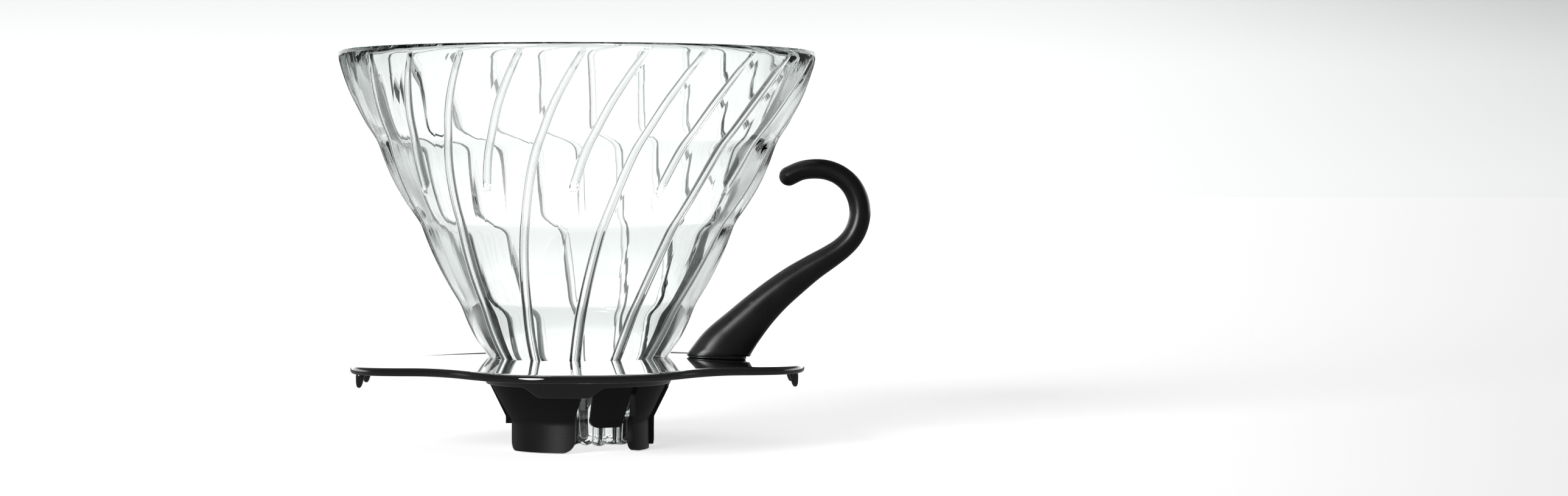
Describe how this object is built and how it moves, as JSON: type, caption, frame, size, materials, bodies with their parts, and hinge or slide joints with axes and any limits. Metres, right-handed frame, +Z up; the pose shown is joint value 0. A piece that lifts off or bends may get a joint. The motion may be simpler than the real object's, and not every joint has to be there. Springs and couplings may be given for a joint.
{
  "type": "pour over dripper",
  "caption": "Glass pour over dripper: a clear cone with spiral ribs and an open outlet, in a black lobed base with centring legs and a hook handle.",
  "frame": {"origin": "on the axis of the glass cone, in the plane of the three leg ends", "axes": "+Z up along the cone's axis, +X towards the handle"},
  "size_m": [0.1283, 0.1152, 0.0956],
  "materials": {
    "clear_glass": "clear pressed heat-resistant glass, fire-polished",
    "black_plastic": "glossy moulded black",
    "black_plastic_satin": "satin moulded black",
    "screw_steel": "stainless, lightly satin"
  },
  "bodies": {
    "base": {"base_plate": "black_plastic", "leg_ring": "black_plastic_satin", "handle": "black_plastic", "handle_screws": "screw_steel"},
    "cone": {"glass_cone": "clear_glass"}
  },
  "joints": [
    {"name": "cone_lift", "type": "slide", "parent": "base", "child": "cone", "axis": [0, 0, 1], "range_m": [0, 0.03]}
  ]
}
